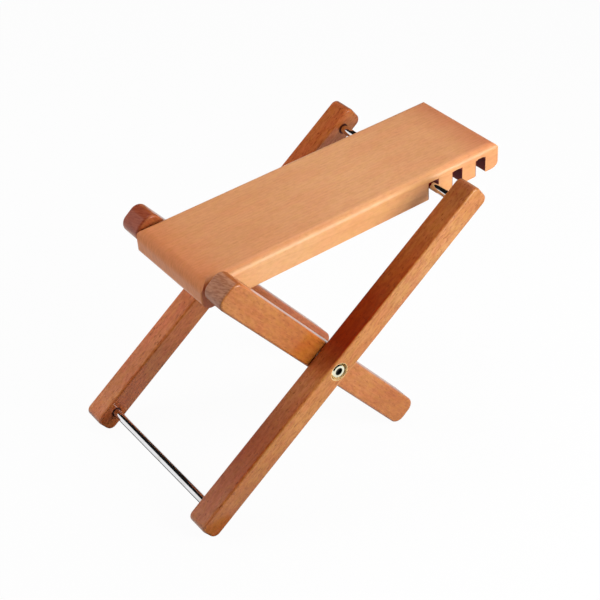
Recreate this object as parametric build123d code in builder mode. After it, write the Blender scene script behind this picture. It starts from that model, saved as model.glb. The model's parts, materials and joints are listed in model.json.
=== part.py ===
"""Folding wooden footrest for a guitar player.

A thick board is hinged between two short legs.  Two long legs cross them outside and are bolted to
them at the crossing.  A steel rod between the long legs sits in one of three slots in the board's
underside, which sets the height, and a second rod joins the long legs at their feet.

Frame: X along the board towards its high, slotted end, Y across it, Z up.  The origin is on the
floor, under the middle of the whole footrest.  The right side is the one at negative Y.
"""

from build123d import *
from math import acos, asin, atan2, cos, degrees, hypot, pi, sin
import os

# Board
board_length = 254.2
board_width = 80.0
board_thickness = 20.2
board_low_top_round = 7.7
board_low_bottom_round = 6.6
board_high_top_round = 7.6
board_high_bottom_round = 7.2
board_top_edge_round = 5.0
board_bottom_edge_round = 1.0
board_corner_round = 2.0

# Slots in the underside of the board, from its low end
slot_count = 3
first_slot_from_end = 192.95
slot_pitch = 21.8
slot_width = 8.9
slot_ceiling_below_top = 6.6
slot_ceiling_round = 3.0
slot_mouth_round = 1.0

# Short legs, the foot length from the crossing
short_leg_width = 21.3
short_leg_thickness = 19.1
short_leg_foot_length = 120.6
short_leg_corner_round = 7.6
short_leg_edge_round = 1.9

# Long legs, the foot length from the crossing
long_leg_width = 18.2
long_leg_thickness = 17.7
long_leg_foot_length = 141.1
long_leg_corner_round = 5.2
long_leg_edge_round = 1.8

# Places of the rods and the board's hinge, along the legs from the crossing or from a leg's end
pivot_to_hinge = 103.3
hinge_from_leg_end = 12.1
pivot_to_height_rod = 140.5
height_rod_from_leg_end = 14.7
foot_rod_from_leg_end = 14.1
hinge_from_end = 13.9
hinge_below_top = 7.9

# Steel rods
rod_diameter = 6.0
rod_end_chamfer = 0.5
rod_hole_depth = 10.0
hinge_rod_diameter = 6.0
hinge_hole_depth = 13.0

# Pivot hardware at the crossing
bolt_diameter = 6.0
bolt_head_diameter = 10.9
bolt_head_height = 3.2
bolt_head_chamfer = 0.9
bolt_socket_across_flats = 5.0
bolt_socket_depth = 2.2
bolt_head_sink = 0.4
bolt_tip_chamfer = 0.8
insert_diameter = 10.0
insert_length = 15.0
insert_flange_diameter = 13.0
insert_flange_thickness = 1.2
washer_diameter = 16.0
washer_thickness = 0.5

# Clearances
side_gap = 0.4
washer_gap = 0.05
running_gap = 0.05
glue_gap = 0.02
seat_gap = 0.3
head_gap = 1.25
hole_end_gap = 0.3
overrun = 2.0

# Half widths across the footrest, from its middle plane outwards
board_side = board_width / 2
short_leg_inner = board_side + side_gap
short_leg_outer = short_leg_inner + short_leg_thickness
long_leg_inner = short_leg_outer + washer_thickness + 2 * washer_gap
long_leg_outer = long_leg_inner + long_leg_thickness

# Lengths of the legs from the crossing, and the place of the foot rod
short_leg_upper_length = pivot_to_hinge + hinge_from_leg_end
long_leg_upper_length = pivot_to_height_rod + height_rod_from_leg_end
pivot_to_foot_rod = long_leg_foot_length - foot_rod_from_leg_end

# The height rod rests in the first slot, close to its ceiling and to the wall on the hinge side
rod_radius = rod_diameter / 2
rod_below_top = slot_ceiling_below_top + seat_gap + rod_radius
rod_from_hinge = first_slot_from_end - slot_width / 2 + seat_gap + rod_radius - hinge_from_end
rod_above_hinge = hinge_below_top - rod_below_top
hinge_to_rod = hypot(rod_from_hinge, rod_above_hinge)

# Crossing, hinge and height rod make a triangle, which fixes the angle between the legs
triangle_cosine = (pivot_to_hinge**2 + pivot_to_height_rod**2 - hinge_to_rod**2) / (
    2 * pivot_to_hinge * pivot_to_height_rod
)
slopes_together = pi - acos(triangle_cosine)

# Both feet touch the floor, each with its lower rounded corner
long_reach = long_leg_foot_length - long_leg_corner_round
long_side = long_leg_width / 2 - long_leg_corner_round
short_reach = short_leg_foot_length - short_leg_corner_round
short_side = short_leg_width / 2 - short_leg_corner_round
sine_part = long_reach + short_reach * cos(slopes_together) - short_side * sin(slopes_together)
cosine_part = long_side - short_reach * sin(slopes_together) - short_side * cos(slopes_together)
long_slope = asin(
    (short_leg_corner_round - long_leg_corner_round) / hypot(sine_part, cosine_part)
) - atan2(cosine_part, sine_part)
short_slope = slopes_together - long_slope
pivot_height = long_reach * sin(long_slope) + long_side * cos(long_slope) + long_leg_corner_round

# The hinge and the height rod, seen from the crossing, give the slope of the board
hinge_x = -pivot_to_hinge * cos(short_slope)
hinge_z = pivot_to_hinge * sin(short_slope)
rod_x = pivot_to_height_rod * cos(long_slope)
rod_z = pivot_to_height_rod * sin(long_slope)
board_slope = atan2(rod_z - hinge_z, rod_x - hinge_x) - atan2(rod_above_hinge, rod_from_hinge)


def corner_reach(slope, along, across, corner):
    """How far a rounded corner of a sloping bar reaches sideways from the bar's own origin."""
    return (along - corner) * cos(slope) + (across - corner) * sin(slope) + corner


# Sideways reach from the crossing, to the high end of the board and to the foot of the long leg,
# places the origin in the middle
board_beyond_hinge = board_length - hinge_from_end
reach_high = hinge_x + max(
    corner_reach(
        board_slope, board_beyond_hinge, board_thickness - hinge_below_top, board_high_bottom_round
    ),
    corner_reach(-board_slope, board_beyond_hinge, hinge_below_top, board_high_top_round),
)
reach_low = corner_reach(
    long_slope, long_leg_foot_length, long_leg_width / 2, long_leg_corner_round
)
pivot_x = (reach_low - reach_high) / 2

pivot = Vector(pivot_x, 0, pivot_height)
hinge = pivot + Vector(hinge_x, 0, hinge_z)
height_rod_center = pivot + Vector(rod_x, 0, rod_z)
foot_rod_center = pivot - Vector(cos(long_slope), 0, sin(long_slope)) * pivot_to_foot_rod


def side_plane(point, slope, outwards):
    """Plane seen from the right side: X along the slope, Y up, Z out of the footrest."""
    return Plane(
        origin=(point.X, -outwards, point.Z), x_dir=(cos(slope), 0, sin(slope)), z_dir=(0, -1, 0)
    )


def end_plane(point, slope):
    """Plane seen from the high end: X to the left side, Y up, Z along the slope."""
    return Plane(origin=point, x_dir=(0, 1, 0), z_dir=(cos(slope), 0, sin(slope)))


def top_plane(point, slope):
    """Plane seen from above: X along the slope, Y to the left side, Z square to both."""
    return Plane(
        origin=point, x_dir=(cos(slope), 0, sin(slope)), z_dir=(-sin(slope), 0, cos(slope))
    )


def leg_bar(slope, inner, thickness, behind, ahead, width, corner, edge):
    """A leg without holes, rounded in side view and along its edges, its origin at the pivot."""
    with BuildPart() as bar:
        with BuildSketch(side_plane(pivot, slope, inner)):
            with Locations(((ahead - behind) / 2, 0)):
                RectangleRounded(ahead + behind, width, corner)
        extrude(amount=thickness)
        fillet(bar.edges().group_by(Axis.Y)[0] + bar.edges().group_by(Axis.Y)[-1], edge)
    return bar


def round_rod(center, diameter, half_length):
    """A straight rod across the footrest, chamfered at both ends."""
    with BuildPart() as rod:
        with BuildSketch(side_plane(center, 0, 0)):
            Circle(diameter / 2)
        extrude(amount=half_length, both=True)
        chamfer(rod.edges().filter_by(GeomType.CIRCLE), rod_end_chamfer)
    return rod


def save(piece, name):
    """Label a finished piece and write it."""
    piece.part.label = name
    export_step(piece.part, f"parts/{name}.step")


os.makedirs("parts", exist_ok=True)

# Board: its outlines from the side, the end and above, each rounded, crossed with one another, and
# slots open to the underside
board_top = hinge_below_top
board_underside = hinge_below_top - board_thickness
board_middle = board_length / 2 - hinge_from_end
slot_ceiling = hinge_below_top - slot_ceiling_below_top
slot_depth = slot_ceiling - board_underside

with BuildPart() as board:
    with BuildSketch(side_plane(hinge, board_slope, 0)):
        with BuildLine():
            FilletPolyline(
                (-hinge_from_end, board_underside),
                (board_beyond_hinge, board_underside),
                (board_beyond_hinge, board_top),
                (-hinge_from_end, board_top),
                radius=(
                    board_low_bottom_round,
                    board_high_bottom_round,
                    board_high_top_round,
                    board_low_top_round,
                ),
                close=True,
            )
        make_face()
    extrude(amount=board_side, both=True)
    with BuildSketch(end_plane(hinge, board_slope)) as section:
        with Locations((0, board_underside)):
            Rectangle(board_width, board_thickness, align=(Align.CENTER, Align.MIN))
        top_corners = section.vertices().group_by(Axis.Y)[-1]
        bottom_corners = section.vertices().group_by(Axis.Y)[0]
        fillet(top_corners, board_top_edge_round)
        fillet(bottom_corners, board_bottom_edge_round)
    extrude(amount=board_length, both=True, mode=Mode.INTERSECT)
    with BuildSketch(top_plane(hinge, board_slope)):
        with Locations((board_middle, 0)):
            RectangleRounded(board_length, board_width, board_corner_round)
    extrude(amount=board_thickness, both=True, mode=Mode.INTERSECT)
    for slot in range(slot_count):
        slot_x = first_slot_from_end + slot * slot_pitch - hinge_from_end
        with BuildSketch(side_plane(hinge, board_slope, 0)) as slot_outline:
            with Locations((slot_x, slot_ceiling)):
                Rectangle(slot_width, slot_depth + overrun, align=(Align.CENTER, Align.MAX))
            fillet(slot_outline.vertices().group_by(Axis.Y)[-1], slot_ceiling_round)
            for side, towards_slot in ((-1, Align.MIN), (1, Align.MAX)):
                mouth_x = slot_x + side * (slot_width / 2 + slot_mouth_round)
                with Locations((mouth_x, board_underside + slot_mouth_round)):
                    Rectangle(
                        slot_mouth_round, slot_mouth_round + overrun, align=(towards_slot, Align.MAX)
                    )
                    Circle(slot_mouth_round, mode=Mode.SUBTRACT)
        extrude(amount=board_side + overrun, both=True, mode=Mode.SUBTRACT)
    with BuildSketch(side_plane(hinge, board_slope, 0)):
        Circle(hinge_rod_diameter / 2 + running_gap)
    extrude(amount=board_side + overrun, both=True, mode=Mode.SUBTRACT)
save(board, "board")

# Short leg: blind hole for the hinge rod inside, stepped hole for the pivot insert outside
short_leg_bar = leg_bar(
    -short_slope,
    short_leg_inner,
    short_leg_thickness,
    short_leg_upper_length,
    short_leg_foot_length,
    short_leg_width,
    short_leg_corner_round,
    short_leg_edge_round,
)
with BuildPart() as short_leg:
    add(short_leg_bar.part)
    with BuildSketch(side_plane(hinge, 0, short_leg_inner)):
        Circle(hinge_rod_diameter / 2 + glue_gap)
    extrude(amount=hinge_hole_depth, mode=Mode.SUBTRACT)
    with BuildSketch(side_plane(pivot, 0, short_leg_outer)):
        Circle(insert_diameter / 2 + glue_gap)
    extrude(amount=-insert_length - hole_end_gap, mode=Mode.SUBTRACT)
    with BuildSketch(side_plane(pivot, 0, short_leg_outer)):
        Circle(insert_flange_diameter / 2 + glue_gap)
    extrude(amount=-insert_flange_thickness, mode=Mode.SUBTRACT)

# Long leg: counterbored pivot hole and two blind rod holes
counterbore_depth = bolt_head_height + bolt_head_sink
long_leg_bar = leg_bar(
    long_slope,
    long_leg_inner,
    long_leg_thickness,
    long_leg_foot_length,
    long_leg_upper_length,
    long_leg_width,
    long_leg_corner_round,
    long_leg_edge_round,
)
with BuildPart() as long_leg:
    add(long_leg_bar.part)
    with BuildSketch(side_plane(pivot, 0, long_leg_inner)):
        Circle(bolt_diameter / 2 + running_gap)
    extrude(amount=long_leg_thickness, mode=Mode.SUBTRACT)
    with BuildSketch(side_plane(pivot, 0, long_leg_outer)):
        Circle(bolt_head_diameter / 2 + head_gap)
    extrude(amount=-counterbore_depth, mode=Mode.SUBTRACT)
    for rod_center in (height_rod_center, foot_rod_center):
        with BuildSketch(side_plane(rod_center, 0, long_leg_inner)):
            Circle(rod_diameter / 2 + glue_gap)
        extrude(amount=rod_hole_depth, mode=Mode.SUBTRACT)

# Pivot insert: threaded sleeve with a thin flange, flush in the short leg's outer face
with BuildPart() as pivot_insert:
    with BuildSketch(side_plane(pivot, 0, short_leg_outer)):
        Circle(insert_diameter / 2)
    extrude(amount=-insert_length)
    with BuildSketch(side_plane(pivot, 0, short_leg_outer)):
        Circle(insert_flange_diameter / 2)
    extrude(amount=-insert_flange_thickness)
    with BuildSketch(side_plane(pivot, 0, short_leg_outer)):
        Circle(bolt_diameter / 2 + glue_gap)
    extrude(amount=-insert_length, mode=Mode.SUBTRACT)

# Pivot washer: thin spacer between the two legs
with BuildPart() as pivot_washer:
    with BuildSketch(side_plane(pivot, 0, short_leg_outer + washer_gap)):
        Circle(washer_diameter / 2)
        Circle(bolt_diameter / 2 + running_gap, mode=Mode.SUBTRACT)
    extrude(amount=washer_thickness)

# Pivot bolt: flat head with a hexagon socket, sunk into the long leg's counterbore
bolt_head_seat = long_leg_outer - counterbore_depth + washer_gap
bolt_tip = short_leg_outer - insert_length
with BuildPart() as pivot_bolt:
    with BuildSketch(side_plane(pivot, 0, bolt_head_seat)):
        Circle(bolt_head_diameter / 2)
    extrude(amount=bolt_head_height)
    chamfer(pivot_bolt.edges().group_by(Axis.Y)[0], bolt_head_chamfer)
    with BuildSketch(side_plane(pivot, 0, bolt_tip)):
        Circle(bolt_diameter / 2)
    extrude(amount=bolt_head_seat - bolt_tip)
    chamfer(pivot_bolt.edges().group_by(Axis.Y)[-1], bolt_tip_chamfer)
    with BuildSketch(side_plane(pivot, 0, bolt_head_seat + bolt_head_height)):
        RegularPolygon(bolt_socket_across_flats / 2, 6, major_radius=False)
    extrude(amount=-bolt_socket_depth, mode=Mode.SUBTRACT)

for pair_name, right_piece in {
    "short_leg": short_leg,
    "long_leg": long_leg,
    "pivot_insert": pivot_insert,
    "pivot_washer": pivot_washer,
    "pivot_bolt": pivot_bolt,
}.items():
    with BuildPart() as left_piece:
        mirror(right_piece.part, about=Plane.XZ)
    save(right_piece, f"{pair_name}_right")
    save(left_piece, f"{pair_name}_left")

# Rods: two join the long legs, one carries the board between the short legs
long_rod_half = long_leg_inner + rod_hole_depth - hole_end_gap
hinge_rod_half = short_leg_inner + hinge_hole_depth - hole_end_gap
height_rod = round_rod(height_rod_center, rod_diameter, long_rod_half)
foot_rod = round_rod(foot_rod_center, rod_diameter, long_rod_half)
board_hinge_rod = round_rod(hinge, hinge_rod_diameter, hinge_rod_half)
save(height_rod, "height_rod")
save(foot_rod, "foot_rod")
save(board_hinge_rod, "board_hinge_rod")

board_plane = side_plane(hinge, board_slope, 0)
print("slopes", degrees(long_slope), degrees(short_slope), degrees(board_slope))
print("legs lie flat at", degrees(slopes_together))
print("pivot", pivot)
print("hinge", hinge)
print("height rod", height_rod_center)
print("foot rod", foot_rod_center)
print("board top middle", board_plane.from_local_coords((board_middle, board_top, 0)))
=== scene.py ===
import json
from math import cos, radians, sin
from typing import NamedTuple

import bmesh
import bpy
import numpy as np
from mathutils import Matrix, Vector


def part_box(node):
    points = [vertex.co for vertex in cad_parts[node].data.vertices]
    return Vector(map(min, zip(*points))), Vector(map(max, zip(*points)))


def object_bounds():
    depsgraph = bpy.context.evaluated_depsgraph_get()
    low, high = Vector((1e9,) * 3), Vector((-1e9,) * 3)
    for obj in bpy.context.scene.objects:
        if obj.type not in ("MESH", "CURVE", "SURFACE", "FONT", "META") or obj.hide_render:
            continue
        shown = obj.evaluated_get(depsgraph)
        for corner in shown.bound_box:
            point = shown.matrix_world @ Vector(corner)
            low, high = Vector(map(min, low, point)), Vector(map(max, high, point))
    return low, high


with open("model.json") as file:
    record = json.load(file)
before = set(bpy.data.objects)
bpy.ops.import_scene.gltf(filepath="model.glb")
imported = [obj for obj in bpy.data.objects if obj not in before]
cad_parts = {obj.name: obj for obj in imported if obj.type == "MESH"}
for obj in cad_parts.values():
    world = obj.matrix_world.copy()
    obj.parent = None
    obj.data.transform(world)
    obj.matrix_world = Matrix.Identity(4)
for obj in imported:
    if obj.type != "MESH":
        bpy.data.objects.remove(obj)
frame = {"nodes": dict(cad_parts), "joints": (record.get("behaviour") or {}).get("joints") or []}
cad_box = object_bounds()
nodes = frame["nodes"]

MM = 0.001
FULL_TURN = radians(360)

# Factors that keep some axes of a vector
ONLY_Y = (0.0, 1.0, 0.0)
NO_X = (0.0, 1.0, 1.0)
NO_Y = (1.0, 0.0, 1.0)


def middle(node):
    """The middle of a CAD node's box."""
    low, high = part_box(node)
    return (low + high) / 2


def long_axis(node):
    """The direction in which a CAD node is longest, pointing towards +X."""
    points = np.array([vertex.co for vertex in nodes[node].data.vertices])
    points -= points.mean(axis=0)
    axis = Vector(np.linalg.svd(points, full_matrices=False)[2][0]).normalized()
    return axis if axis.x > 0 else -axis


def reach_along(node, axis):
    """Where a CAD node starts and ends along an axis."""
    places = [vertex.co.dot(axis) for vertex in nodes[node].data.vertices]
    return min(places), max(places)


# Places taken from the frame
joints = {joint["name"]: Vector(joint["pos_m"]) for joint in frame["joints"]}
PIVOT = joints["leg_fold"]
HINGE = joints["board_lift"]
HEIGHT_ROD = middle("height_rod")
FOOT_ROD = middle("foot_rod")
ROD_RADIUS = (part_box("height_rod")[1].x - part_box("height_rod")[0].x) / 2
LONG_LEG_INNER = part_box("long_leg_left")[0].y
LONG_LEG_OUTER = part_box("long_leg_left")[1].y
SHORT_LEG_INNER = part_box("short_leg_left")[0].y
BOARD_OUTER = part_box("board")[1].y
FLOOR_HEIGHT = cad_box[0].z

# Sizes of the holes and slots, as in the CAD source
BORE_RADIUS = 6.7 * MM
SOCKET_RADIUS = 2.95 * MM
SLOT_PITCH = 21.8 * MM
SLOT_HALF_WIDTH = 4.45 * MM
SLOT_COUNT = 3
SEAT_GAP = 0.3 * MM


class Graph:
    """A node tree and the few calls that fill it."""

    def __init__(self, owner):
        self.owner = owner
        owner.use_nodes = True
        self.tree = owner.node_tree
        self.tree.nodes.clear()

    def put(self, value, target):
        """Links a value that is a socket to an input, and sets the input to any other value."""
        if isinstance(value, bpy.types.NodeSocket):
            self.tree.links.new(value, target)
        else:
            target.default_value = value

    def add(self, kind, inputs, **settings):
        """Adds a node. inputs holds a value or a socket for each input."""
        node = self.tree.nodes.new(kind)
        for name, value in settings.items():
            setattr(node, name, value)
        for key, value in inputs.items():
            self.put(value, node.inputs[key])
        return node

    def math(self, operation, *values):
        """The result of a Math node."""
        node = self.add("ShaderNodeMath", dict(enumerate(values)), operation=operation)
        return node.outputs[0]

    def vector_math(self, operation, *values):
        """The result of a Vector Math node, which is a number for a dot product or a length."""
        node = self.add("ShaderNodeVectorMath", dict(enumerate(values)), operation=operation)
        return node.outputs["Value" if operation in {"DOT_PRODUCT", "LENGTH"} else "Vector"]

    def spread(self, value, start, end, low=0.0, high=1.0, kind="SMOOTHSTEP"):
        """A step from low, where value is start, to high, where it is end."""
        inputs = {"Value": value, "From Min": start, "From Max": end, "To Min": low, "To Max": high}
        return self.add("ShaderNodeMapRange", inputs, interpolation_type=kind).outputs["Result"]

    def noise(self, vector, scale, detail=2.0, roughness=0.5):
        """Noise with its own number of features per metre along each axis."""
        stretched = self.vector_math("MULTIPLY", vector, scale)
        inputs = {"Vector": stretched, "Scale": 1.0, "Detail": detail, "Roughness": roughness}
        return self.add("ShaderNodeTexNoise", inputs).outputs["Fac"]

    def side_offset(self, place, point):
        """How far place lies from the line through a point along Y, as a vector square to it."""
        side_place = self.vector_math("MULTIPLY", place, NO_Y)
        return self.vector_math("SUBTRACT", side_place, (point.x, 0.0, point.z))

    def mix(self, factor, first, second, blend="MIX"):
        """Mixes two colours."""
        node = self.add("ShaderNodeMix", {}, data_type="RGBA", blend_type=blend)
        inputs = {socket.identifier: socket for socket in node.inputs}
        self.put(factor, inputs["Factor_Float"])
        self.put(first, inputs["A_Color"])
        self.put(second, inputs["B_Color"])
        return {socket.identifier: socket for socket in node.outputs}["Result_Color"]

    def tint(self, factor, color, tone):
        """Multiplies a colour by a tone where factor is 1."""
        return self.mix(factor, color, tone, blend="MULTIPLY")

    def ramp(self, value, stops):
        """Colours that change smoothly with value. stops lists (value, colour), lowest first."""
        node = self.add("ShaderNodeValToRGB", {"Fac": value})
        band = node.color_ramp
        band.interpolation = "EASE"
        band.elements[0].position, band.elements[0].color = stops[0]
        band.elements[1].position, band.elements[1].color = stops[-1]
        for place, color in stops[1:-1]:
            band.elements.new(place).color = color
        return node.outputs["Color"]

    def bump(self, height, strength, distance):
        """A normal with fine relief."""
        inputs = {"Height": height, "Strength": strength, "Distance": distance}
        return self.add("ShaderNodeBump", inputs).outputs[0]

    def finish(self, shader, kind="Material"):
        """Ends the tree with a shader, and returns the material or world."""
        self.add(f"ShaderNodeOutput{kind}", {"Surface": shader.outputs[0]})
        return self.owner


def material_graph(name):
    """The empty node tree of a new material."""
    return Graph(bpy.data.materials.new(name))


def rgb(red, green, blue):
    """A colour written as it looks on a screen, 0 to 255, for a shader's socket."""
    linear = (
        value / 12.92 if value <= 0.04045 else ((value + 0.055) / 1.055) ** 2.4
        for value in (red / 255, green / 255, blue / 255)
    )
    return (*linear, 1.0)


class Layer(NamedTuple):
    """One noise in the figure of the wood, and the tone that it gives the colour."""

    scale: tuple  # features per metre along, across and through the piece
    detail: float
    roughness: float
    start: float  # the noise at which the tone begins
    full: float  # the noise at which it is full
    strength: float
    tone: tuple


class Hole(NamedTuple):
    """A round hole across a piece, whose wall and rim have a colour of their own and no varnish:
    bare wood at the pivot's counterbore, painted shade around the rods.
    """

    point: Vector
    radius: float
    rim: float
    reach: float  # how far from the middle plane the wall colour goes
    bare_wood_and_shade: tuple


class Groove(NamedTuple):
    """A slot across a piece, open on its lower side, with its walls painted in shade and without
    varnish.
    """

    point: Vector  # the middle of its upper end
    half_width: float
    bare_wood_and_shade: tuple


# Tones that turn the plain colour of beech into its figure
DARK_TONE = (0.80, 0.70, 0.62, 1.0)
ROSE_TONE = (1.0, 0.88, 0.90, 1.0)
GOLD_TONE = (0.97, 1.0, 0.80, 1.0)
FIBRE_TONE = (0.80, 0.66, 0.54, 1.0)
FLECK_TONE = (0.50, 0.34, 0.24, 1.0)

# Each layer's scale, detail, roughness, start, full, strength and tone
CLOUD = Layer((18.0, 40.0, 40.0), 3.0, 0.55, 0.30, 0.70, 0.55, DARK_TONE)
ROSE = Layer((45.0, 110.0, 110.0), 2.0, 0.50, 0.44, 0.64, 1.0, ROSE_TONE)
MOTTLE = Layer((220.0, 480.0, 480.0), 3.0, 0.65, 0.38, 0.66, 0.75, DARK_TONE)
GOLD = Layer((140.0, 300.0, 300.0), 2.0, 0.50, 0.44, 0.62, 1.0, GOLD_TONE)
FIBRE = Layer((60.0, 1500.0, 1500.0), 3.0, 0.60, 0.42, 0.75, 0.38, FIBRE_TONE)
FLECK = Layer((260.0, 900.0, 900.0), 1.0, 0.50, 0.62, 0.72, 1.0, FLECK_TONE)
FIGURE_LAYERS = (CLOUD, ROSE, MOTTLE, GOLD, FIBRE, FLECK)

# Growth rings. The middle of the tree is a place in the coordinates of the noise, whose X runs
# along the grain.
RING_WIDTH = 2.6 * MM
TREE_CENTER = (0.0, 0.018, -0.055)
RING_BEND = 9 * MM
BEND_SCALE = (3.0, 9.0, 9.0)
RING_WANDER = 2.2 * MM
WANDER_SCALE = (14.0, 60.0, 60.0)
LATE_WOOD_SHARPNESS = 5.0
LATE_WOOD_STRENGTH = 0.35

# End grain: slanted streaks
STREAK_TILT = radians(18)
STREAK_SCALE = (200.0, 820.0, 150.0)
STREAK_LIGHT = 0.34
STREAK_DARK = 0.68

# How square a face is to the rings: where the flat colour ends and the cross colour is full
FLAT_FACE_END = 0.80
CROSS_FACE_START = 0.45

# Share of a hole's rim that has the full stain, and widths over which a stain fades out
RIM_CORE = 0.25
REACH_FADE = 0.2 * MM
GROOVE_FADE_START = 0.1 * MM
GROOVE_FADE_END = 0.35 * MM

# Each piece takes its noise from a place of its own
SEED_RATIO = 7

# Surface of the varnished wood
VARNISH_SPREAD = (0.2, 0.8)
VARNISH_ROUGHNESS = (0.36, 0.48)
WOOD_SPECULAR = 0.12
FIBRE_RELIEF = 0.6
FLECK_RELIEF = 0.5
RELIEF_STRENGTH = 0.10
RELIEF_DEPTH = 0.15 * MM


def growth_rings(graph, local):
    """1 at the dark end of each growth ring. The rings bend a little along the length."""
    bend = graph.noise(local, BEND_SCALE, detail=1.0)
    wander = graph.noise(local, WANDER_SCALE)
    from_center = graph.vector_math("SUBTRACT", local, TREE_CENTER)
    across_grain = graph.vector_math("MULTIPLY", from_center, NO_X)
    radius = graph.vector_math("LENGTH", across_grain)
    radius = graph.math("ADD", radius, graph.math("MULTIPLY", bend, RING_BEND))
    radius = graph.math("ADD", radius, graph.math("MULTIPLY", wander, RING_WANDER))
    ring = graph.math("FRACT", graph.math("DIVIDE", radius, RING_WIDTH))
    return graph.math("POWER", ring, LATE_WOOD_SHARPNESS)


def in_hole(graph, place, hole):
    """1 on the wall and rim of a hole."""
    distance = graph.vector_math("LENGTH", graph.side_offset(place, hole.point))
    depth = graph.vector_math("LENGTH", graph.vector_math("MULTIPLY", place, ONLY_Y))
    rim_core = hole.rim * RIM_CORE
    inside = graph.spread(distance, hole.radius + hole.rim, hole.radius + rim_core)
    reached = graph.spread(depth, hole.reach + REACH_FADE, hole.reach)
    return graph.math("MULTIPLY", inside, reached)


def in_groove(graph, place, groove, along, upward):
    """1 on the walls of a groove."""
    offset = graph.side_offset(place, groove.point)
    sideways = graph.math("ABSOLUTE", graph.vector_math("DOT_PRODUCT", offset, along))
    edge = groove.half_width
    inside = graph.spread(sideways, edge + GROOVE_FADE_END, edge + GROOVE_FADE_START)
    height = graph.vector_math("DOT_PRODUCT", offset, upward)
    under = graph.spread(height, GROOVE_FADE_END, GROOVE_FADE_START)
    return graph.math("MULTIPLY", inside, under)


def wood(
    node, flat_face, seed, flat, cross, end, figure, flecks, end_edge, gloss, holes=(), grooves=()
):
    """Varnished beech for one piece, with its grain along the piece.

    flat_face is the outward direction of the face that is cut flat to the rings. flat and cross
    list (share of the length, colour) for the faces cut flat to the rings and across them, and end
    holds the light and the dark colour of the end grain. figure and flecks are the strengths of
    the clouds and of the short dark flecks, end_edge gives the slopes between which the end
    grain begins, and gloss holds the varnish's weight and roughness. holes and grooves list those
    that cross the piece.
    """
    graph = material_graph(f"beech_{node}")
    along = long_axis(node)
    upward = (flat_face - flat_face.dot(along) * along).normalized()
    across = upward.cross(along)
    coordinates = graph.add("ShaderNodeTexCoord", {})
    place = coordinates.outputs["Object"]
    normal = coordinates.outputs["Normal"]
    turn = Matrix((along, across, upward)).to_euler()
    shift = (seed, seed / SEED_RATIO, 0)
    turned = {"Vector": place, "Rotation": turn, "Location": shift}
    local = graph.add("ShaderNodeMapping", turned).outputs[0]

    # Colour of each face along the length; on the right legs it holds painted shade
    distance = graph.vector_math("DOT_PRODUCT", place, along)
    share = graph.spread(distance, *reach_along(node, along), kind="LINEAR")
    flatness = graph.math("ABSOLUTE", graph.vector_math("DOT_PRODUCT", normal, upward))
    crossed = graph.spread(flatness, FLAT_FACE_END, CROSS_FACE_START)
    color = graph.mix(crossed, graph.ramp(share, flat), graph.ramp(share, cross))

    # Figure: rings, clouds, mottle, fibres and the short dark flecks of beech
    late_wood = graph.math("MULTIPLY", growth_rings(graph, local), LATE_WOOD_STRENGTH)
    color = graph.tint(late_wood, color, DARK_TONE)
    noises = {}
    for layer in FIGURE_LAYERS:
        noises[layer] = graph.noise(local, layer.scale, layer.detail, layer.roughness)
        strength = layer.strength * (flecks if layer is FLECK else figure)
        factor = graph.spread(noises[layer], layer.start, layer.full, high=strength)
        color = graph.tint(factor, color, layer.tone)

    # End grain drinks the varnish and shows slanted streaks
    slope = graph.math("ABSOLUTE", graph.vector_math("DOT_PRODUCT", normal, along))
    tilted = {"Vector": local, "Rotation": (STREAK_TILT, 0, 0)}
    slanted = graph.add("ShaderNodeMapping", tilted).outputs[0]
    streak = graph.noise(slanted, STREAK_SCALE, detail=4.0, roughness=0.6)
    end_light, end_dark = end
    end_color = graph.mix(graph.spread(streak, STREAK_LIGHT, STREAK_DARK), end_light, end_dark)
    color = graph.mix(graph.spread(slope, *end_edge), color, end_color)

    # Walls of the holes and grooves, which have no varnish: bare wood in the counterbore, painted
    # shade around the rods and in the slots
    wall_tones = [(in_hole(graph, place, hole), hole.bare_wood_and_shade) for hole in holes]
    wall_tones += [
        (in_groove(graph, place, groove, along, upward), groove.bare_wood_and_shade) for groove in grooves
    ]
    bare = 0.0
    for on_wall, bare_wood_and_shade in wall_tones:
        color = graph.mix(on_wall, color, bare_wood_and_shade)
        bare = graph.math("MAXIMUM", bare, on_wall)

    roughness = graph.spread(noises[CLOUD], *VARNISH_SPREAD, *VARNISH_ROUGHNESS)
    fleck = graph.spread(noises[FLECK], FLECK.start, FLECK.full)
    relief = graph.math(
        "SUBTRACT",
        graph.math("MULTIPLY", noises[FIBRE], FIBRE_RELIEF),
        graph.math("MULTIPLY", fleck, FLECK_RELIEF),
    )
    coat, coat_roughness = gloss
    shader = graph.add(
        "ShaderNodeBsdfPrincipled",
        {
            "Base Color": color,
            "Roughness": roughness,
            "Normal": graph.bump(relief, RELIEF_STRENGTH, RELIEF_DEPTH),
            "Specular IOR Level": WOOD_SPECULAR,
            "Coat Weight": graph.math("MULTIPLY", graph.math("SUBTRACT", 1.0, bare), coat),
            "Coat Roughness": coat_roughness,
        },
    )
    return graph.finish(shader)


# Painted shade: the dark inside of the bolt's hex socket
SOCKET_SHADE = rgb(26, 28, 24)
SOCKET_ROUGHNESS = 0.6
SOCKET_EDGE = 0.15 * MM
TURNING_SCALE = (5200.0, 260.0, 5200.0)
TURNING_DEPTH = 0.02 * MM
PATCH_SCALE = (120.0, 120.0, 120.0)
WORN_SPREAD = (0.45, 0.75)
DULL_SPREAD = (0.3, 0.75)


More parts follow.
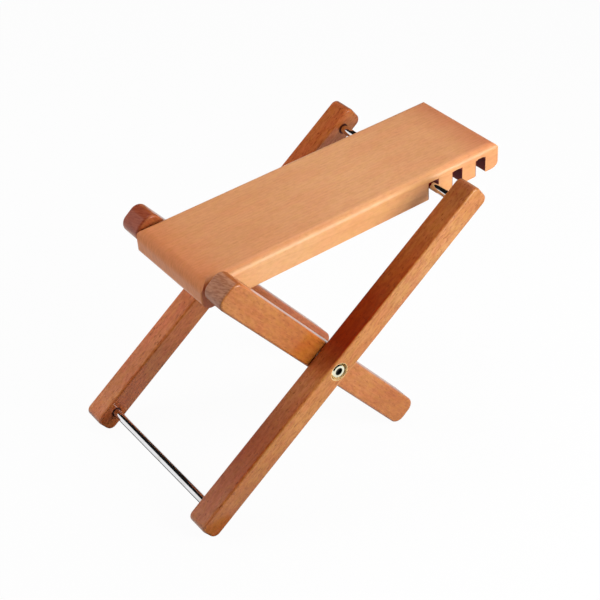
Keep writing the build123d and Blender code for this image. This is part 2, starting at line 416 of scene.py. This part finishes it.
def metal(name, base, worn, roughness, line_strength, sockets=()):
    """Polished metal with fine turning lines and a few dull patches.

    roughness holds that of the polished and of the dull places. sockets lists (point, radius):
    recesses along the Y axis, painted dark as shade and not metallic.
    """
    graph = material_graph(name)
    place = graph.add("ShaderNodeTexCoord", {}).outputs["Object"]
    lines = graph.noise(place, TURNING_SCALE)
    patches = graph.noise(place, PATCH_SCALE, detail=3.0)
    color = graph.mix(graph.spread(patches, *WORN_SPREAD), base, worn)
    dullness = graph.spread(patches, *DULL_SPREAD, *roughness)
    metallic = 1.0
    # Painted shade inside each socket: dark colour, no metal
    for point, radius in sockets:
        distance = graph.vector_math("LENGTH", graph.side_offset(place, point))
        inside = graph.spread(distance, radius, radius - SOCKET_EDGE)
        color = graph.mix(inside, color, SOCKET_SHADE)
        rough_socket = graph.math("MULTIPLY", inside, SOCKET_ROUGHNESS)
        dullness = graph.math("MAXIMUM", dullness, rough_socket)
        metallic = graph.math("SUBTRACT", 1.0, inside)
    shader = graph.add(
        "ShaderNodeBsdfPrincipled",
        {
            "Base Color": color,
            "Metallic": metallic,
            "Roughness": dullness,
            "Normal": graph.bump(lines, line_strength, TURNING_DEPTH),
        },
    )
    return graph.finish(shader)


NYLON_LIGHT = rgb(232, 230, 222)
NYLON_DARK = rgb(214, 210, 198)
NYLON_SCALE = (400.0, 400.0, 400.0)
NYLON_SPREAD = (0.3, 0.7)
NYLON_ROUGHNESS = (0.42, 0.55)


def nylon(name):
    """Natural nylon, slightly mottled."""
    graph = material_graph(name)
    place = graph.add("ShaderNodeTexCoord", {}).outputs["Object"]
    mottle = graph.noise(place, NYLON_SCALE, detail=3.0)
    color = graph.mix(mottle, NYLON_LIGHT, NYLON_DARK)
    roughness = graph.spread(mottle, *NYLON_SPREAD, *NYLON_ROUGHNESS)
    shader = graph.add(
        "ShaderNodeBsdfPrincipled",
        {"Base Color": color, "Roughness": roughness, "Subsurface Weight": 0.1},
    )
    return graph.finish(shader)


def dress(node, material):
    """Gives a CAD node its material."""
    mesh = nodes[node].data
    mesh.materials.clear()
    mesh.materials.append(material)


# Wall colours and varnish: bare beech in the counterbore, painted shade around the rods and in the
# slots.
# A gloss is a weight and a roughness, and an end edge the slopes between which the end grain
# begins.
BARE_BEECH = rgb(226, 194, 140)
# Painted shade: the dark rim where each rod enters the wood
ROD_ENTRY_SHADE = rgb(58, 20, 12)
# Painted shade: the dark maroon walls of the slots
SLOT_PAINTED_SHADE = rgb(106, 2, 4)
BORE_RIM = 0.5 * MM
ROD_RIM = 1.6 * MM
RIM_DEPTH = 1.0 * MM
LEG_GLOSS = (0.5, 0.18)
BOARD_GLOSS = (0.28, 0.3)
LEG_END_EDGE = (0.55, 0.75)
BOARD_END_EDGE = (0.45, 0.95)

# Colours along each piece, from its low end in X: for a long leg its foot, for a short leg its top
long_leg_looks = {
    "right": {
        # The right long leg's outer and inner faces darken towards the foot: painted shade where
        # the light falls off
        "flat": [
            (0.0, rgb(172, 100, 48)),
            (0.16, rgb(183, 118, 60)),
            (0.50, rgb(203, 138, 74)),
            (0.80, rgb(200, 142, 86)),
            (1.0, rgb(190, 130, 68)),
        ],
        # From 0.54 to 0.72, beside the pivot, the faces across the rings turn deep red-brown:
        # painted shade of the board
        "cross": [
            (0.0, rgb(202, 128, 88)),
            (0.22, rgb(184, 92, 42)),
            (0.42, rgb(208, 130, 78)),
            (0.54, rgb(176, 54, 4)),
            (0.64, rgb(178, 64, 10)),
            (0.72, rgb(186, 88, 28)),
            (0.84, rgb(183, 106, 52)),
            (1.0, rgb(170, 100, 54)),
        ],
        "end": (rgb(178, 120, 84), rgb(150, 92, 60)),
    },
    "left": {
        "flat": [(0.0, rgb(192, 110, 62)), (0.3, rgb(202, 126, 70)), (1.0, rgb(198, 122, 68))],
        "cross": [(0.0, rgb(220, 140, 92)), (0.3, rgb(210, 126, 78)), (0.85, rgb(188, 104, 56))],
        "end": (rgb(170, 104, 74), rgb(138, 78, 52)),
    },
}
short_leg_looks = {
    "right": {
        # The dip at 0.40, next to the crossing, is painted shade of the long leg
        "flat": [
            (0.0, rgb(196, 126, 66)),
            (0.40, rgb(194, 116, 50)),
            (0.64, rgb(196, 128, 68)),
            (1.0, rgb(188, 114, 50)),
        ],
        "cross": [(0.0, rgb(182, 112, 66)), (1.0, rgb(180, 108, 62))],
        "end": (rgb(192, 134, 100), rgb(158, 95, 66)),
    },
    "left": {
        "flat": [(0.0, rgb(186, 112, 68)), (1.0, rgb(182, 106, 64))],
        "cross": [(0.0, rgb(178, 102, 62)), (1.0, rgb(176, 102, 60))],
        "end": (rgb(160, 78, 50), rgb(136, 58, 34)),
    },
}
board_looks = {
    "flat": [
        (0.0, rgb(222, 140, 92)),
        (0.14, rgb(224, 157, 108)),
        (0.60, rgb(227, 165, 117)),
        (0.86, rgb(221, 158, 111)),
        (1.0, rgb(204, 130, 90)),
    ],
    "cross": [
        (0.0, rgb(212, 122, 84)),
        (0.09, rgb(228, 175, 124)),
        (0.6, rgb(226, 168, 114)),
        (1.0, rgb(208, 147, 96)),
    ],
    "end": (rgb(220, 138, 84), rgb(204, 122, 70)),
}

# Legs
outward = {"right": Vector((0, -1, 0)), "left": Vector((0, 1, 0))}
long_leg_holes = [
    Hole(PIVOT, BORE_RADIUS, BORE_RIM, LONG_LEG_OUTER, BARE_BEECH),
    # The rods' holes carry a painted shade rim
    Hole(HEIGHT_ROD, ROD_RADIUS, ROD_RIM, LONG_LEG_INNER + RIM_DEPTH, ROD_ENTRY_SHADE),
    Hole(FOOT_ROD, ROD_RADIUS, ROD_RIM, LONG_LEG_INNER + RIM_DEPTH, ROD_ENTRY_SHADE),
]
short_leg_holes = [Hole(HINGE, ROD_RADIUS, ROD_RIM, SHORT_LEG_INNER + RIM_DEPTH, ROD_ENTRY_SHADE)]
for number, (side, direction) in enumerate(outward.items()):
    long_leg = f"long_leg_{side}"
    long_wood = wood(
        long_leg,
        direction,
        seed=1.7 + number,
        **long_leg_looks[side],
        figure=1.2,
        flecks=0.8,
        end_edge=LEG_END_EDGE,
        gloss=LEG_GLOSS,
        holes=long_leg_holes,
    )
    dress(long_leg, long_wood)
    short_leg = f"short_leg_{side}"
    short_wood = wood(
        short_leg,
        direction,
        seed=4.3 + number,
        **short_leg_looks[side],
        figure=1.0,
        flecks=0.5,
        end_edge=LEG_END_EDGE,
        gloss=LEG_GLOSS,
        holes=short_leg_holes,
    )
    dress(short_leg, short_wood)

# Board: the height rod lies a seat gap below the upper end of the first slot, and as far from
# its lower wall
board_axis = long_axis("board")
board_up = Vector((-board_axis.z, 0, board_axis.x))
slot_top = HEIGHT_ROD + (ROD_RADIUS + SEAT_GAP) * board_up
first_slot = slot_top + (SLOT_HALF_WIDTH - ROD_RADIUS - SEAT_GAP) * board_axis
board_wood = wood(
    "board",
    board_up,
    seed=8.1,
    **board_looks,
    figure=0.4,
    flecks=0.12,
    end_edge=BOARD_END_EDGE,
    gloss=BOARD_GLOSS,
    # The hinge rod's entry carries a painted shade rim
    holes=[Hole(HINGE, ROD_RADIUS, BORE_RIM, BOARD_OUTER, ROD_ENTRY_SHADE)],
    # The slots' walls are painted shade
    grooves=[
        Groove(first_slot + slot * SLOT_PITCH * board_axis, SLOT_HALF_WIDTH, SLOT_PAINTED_SHADE)
        for slot in range(SLOT_COUNT)
    ],
)
dress("board", board_wood)

# Rods, bolts, inserts and washers
steel = metal(
    "polished_steel",
    base=rgb(230, 230, 232),
    worn=rgb(214, 212, 210),
    roughness=(0.04, 0.08),
    line_strength=0.0,
)
nickel = metal(
    "nickel_plate",
    base=rgb(238, 236, 212),
    worn=rgb(222, 216, 184),
    roughness=(0.12, 0.22),
    line_strength=0.05,
    sockets=[(PIVOT, SOCKET_RADIUS)],
)
brass = metal(
    "turned_brass",
    base=rgb(216, 178, 104),
    worn=rgb(184, 146, 82),
    roughness=(0.25, 0.4),
    line_strength=0.10,
)
washer_plastic = nylon("nylon_washer")
for rod in ("height_rod", "foot_rod", "board_hinge_rod"):
    dress(rod, steel)
for side in outward:
    dress(f"pivot_bolt_{side}", nickel)
    dress(f"pivot_insert_{side}", brass)
    dress(f"pivot_washer_{side}", washer_plastic)


# Camera at the photograph's place. AIM lies in the middle of its view.
CAMERA_AZIMUTH = radians(-36.79)
CAMERA_ELEVATION = radians(35.89)
CAMERA_ROLL = radians(0.27)
CAMERA_DISTANCE = 1.0367
FOCAL_LENGTH = 85.75
AIM = Vector((PIVOT.x + 30.9 * MM, 8.15 * MM, 90.6 * MM))

backward = Vector(
    (
        sin(CAMERA_AZIMUTH) * cos(CAMERA_ELEVATION),
        -cos(CAMERA_AZIMUTH) * cos(CAMERA_ELEVATION),
        sin(CAMERA_ELEVATION),
    )
)
level_right = Vector((0, 0, 1)).cross(backward).normalized()
level_up = backward.cross(level_right)
camera_right = cos(CAMERA_ROLL) * level_right + sin(CAMERA_ROLL) * level_up
camera_up = backward.cross(camera_right)
camera_turn = Matrix((camera_right, camera_up, backward)).transposed().to_4x4()
camera_data = bpy.data.cameras.new("camera")
camera_data.lens = FOCAL_LENGTH
camera = bpy.data.objects.new("camera", camera_data)
camera.matrix_world = Matrix.Translation(AIM + backward * CAMERA_DISTANCE) @ camera_turn
bpy.context.scene.collection.objects.link(camera)
bpy.context.scene.camera = camera


def seen_directly(graph):
    """1 for camera, glossy and transmission rays, 0 for the light that falls on the object."""
    path = graph.add("ShaderNodeLightPath", {})
    either = graph.math("MAXIMUM", path.outputs["Is Camera Ray"], path.outputs["Is Glossy Ray"])
    return graph.math("MAXIMUM", either, path.outputs["Is Transmission Ray"])


# Floor: pale, shown nearly white, with the object's faint shadow
WHITE = (1, 1, 1, 1)
FLOOR_GREY = (0.7, 0.7, 0.7, 1)
FLOOR_SIZE = 6.0
FLOOR_SHOWN_WHITE = 0.96
floor_graph = material_graph("pale_floor")
diffuse = floor_graph.add("ShaderNodeBsdfDiffuse", {"Color": FLOOR_GREY})
white = floor_graph.add("ShaderNodeEmission", {"Color": WHITE, "Strength": 1.0})
shown = floor_graph.math("MULTIPLY", seen_directly(floor_graph), FLOOR_SHOWN_WHITE)
floor_shader = floor_graph.add(
    "ShaderNodeMixShader", {0: shown, 1: diffuse.outputs[0], 2: white.outputs[0]}
)
floor_mesh = bpy.data.meshes.new("floor")
floor_bmesh = bmesh.new()
bmesh.ops.create_grid(floor_bmesh, x_segments=1, y_segments=1, size=FLOOR_SIZE / 2)
floor_bmesh.to_mesh(floor_mesh)
floor_bmesh.free()
floor_mesh.materials.append(floor_graph.finish(floor_shader))
floor = bpy.data.objects.new("floor", floor_mesh)
floor.location.z = FLOOR_HEIGHT
bpy.context.scene.collection.objects.link(floor)

# World: white where it is seen, and a little soft light on the object
WORLD_LIGHT = 0.04
world = bpy.data.worlds.new("studio")
bpy.context.scene.world = world
world_graph = Graph(world)
strength = world_graph.math("MAXIMUM", seen_directly(world_graph), WORLD_LIGHT)
background = world_graph.add("ShaderNodeBackground", {"Color": WHITE, "Strength": strength})
world_graph.finish(background, "World")

CARD_BLACK = (0.01, 0.01, 0.01, 1)


def only_in_reflections(name, outlines):
    """A very dark card that nothing but a mirror shows, which paints dark reflections. outlines
    lists the corners of its faces.
    """
    graph = material_graph(name)
    dark = graph.add("ShaderNodeEmission", {"Color": CARD_BLACK, "Strength": 1.0})
    mesh = bpy.data.meshes.new(name)
    edited = bmesh.new()
    for outline in outlines:
        edited.faces.new(edited.verts.new(corner) for corner in outline)
    edited.to_mesh(mesh)
    edited.free()
    mesh.materials.append(graph.finish(dark))
    card = bpy.data.objects.new(name, mesh)
    card.visible_camera = False
    card.visible_diffuse = False
    card.visible_shadow = False
    card.visible_transmission = False
    card.visible_volume_scatter = False
    bpy.context.scene.collection.objects.link(card)


# Round screen: gives the metal its dark streaks. Its lower edge is raised at the back left, where
# the rods mirror the pale backdrop.
SCREEN_RADIUS = 1.6
SCREEN_TOP = 4.0
SCREEN_LOW_EDGE = 0.12
SCREEN_RAISED_EDGE = 1.1
SCREEN_PANELS = 72
RAISED_FROM = radians(95)
RAISED_TO = radians(200)
panels = []
for panel in range(SCREEN_PANELS):
    turns = [FULL_TURN * (panel + step) / SCREEN_PANELS for step in (0, 1)]
    raised = RAISED_FROM < sum(turns) / 2 < RAISED_TO
    low_edge = SCREEN_RAISED_EDGE if raised else SCREEN_LOW_EDGE
    corners = [(turn, low_edge) for turn in turns]
    corners += [(turn, SCREEN_TOP) for turn in reversed(turns)]
    panels.append(
        [(SCREEN_RADIUS * cos(turn), SCREEN_RADIUS * sin(turn), height) for turn, height in corners]
    )
only_in_reflections("screen", panels)

# Card on the floor under the foot rod, seen only in reflections: a painted shadow of the rod that
# draws the dark line along the rod's lower edge
CARD_BEFORE = 13 * MM
CARD_BEHIND = 14 * MM
CARD_HALF_LENGTH = 90 * MM
CARD_CLEARANCE = 0.5 * MM
card_height = FLOOR_HEIGHT + CARD_CLEARANCE
card_front = FOOT_ROD.x - CARD_BEFORE
card_back = FOOT_ROD.x + CARD_BEHIND
only_in_reflections(
    "rod_shadow_card",
    [
        [
            (card_front, -CARD_HALF_LENGTH, card_height),
            (card_back, -CARD_HALF_LENGTH, card_height),
            (card_back, CARD_HALF_LENGTH, card_height),
            (card_front, CARD_HALF_LENGTH, card_height),
        ]
    ],
)


def lamp(name, direction, distance, size, power, mirrored=False):
    """A square soft lamp that shines on the middle of the footrest.

    A mirrored lamp shows in glossy surfaces and gives no other light. The others don't show there.
    """
    data = bpy.data.lights.new(name, "AREA")
    data.shape = "SQUARE"
    data.size = size
    data.energy = power
    holder = bpy.data.objects.new(name, data)
    center = (cad_box[0] + cad_box[1]) / 2
    holder.location = center + Vector(direction).normalized() * distance
    holder.rotation_euler = Vector(direction).to_track_quat("Z", "Y").to_euler()
    holder.visible_camera = False
    holder.visible_glossy = mirrored
    holder.visible_diffuse = not mirrored
    bpy.context.scene.collection.objects.link(holder)


lamp("key", (0.46, -0.80, 0.38), distance=0.75, size=0.5, power=7.0)
lamp("fill", (-0.70, 0.54, 0.48), distance=1.5, size=0.8, power=10.0)
lamp("near_top", (0.1, 0.2, 1.0), distance=0.8, size=0.6, power=2.35)
lamp("top", (0.36, 0.42, 0.84), distance=1.5, size=1.0, power=3.6)
lamp("edge_gloss", (0.50, -0.86, 0.07), distance=1.0, size=0.5, power=9.5, mirrored=True)

bpy.context.scene.view_settings.view_transform = "Standard"
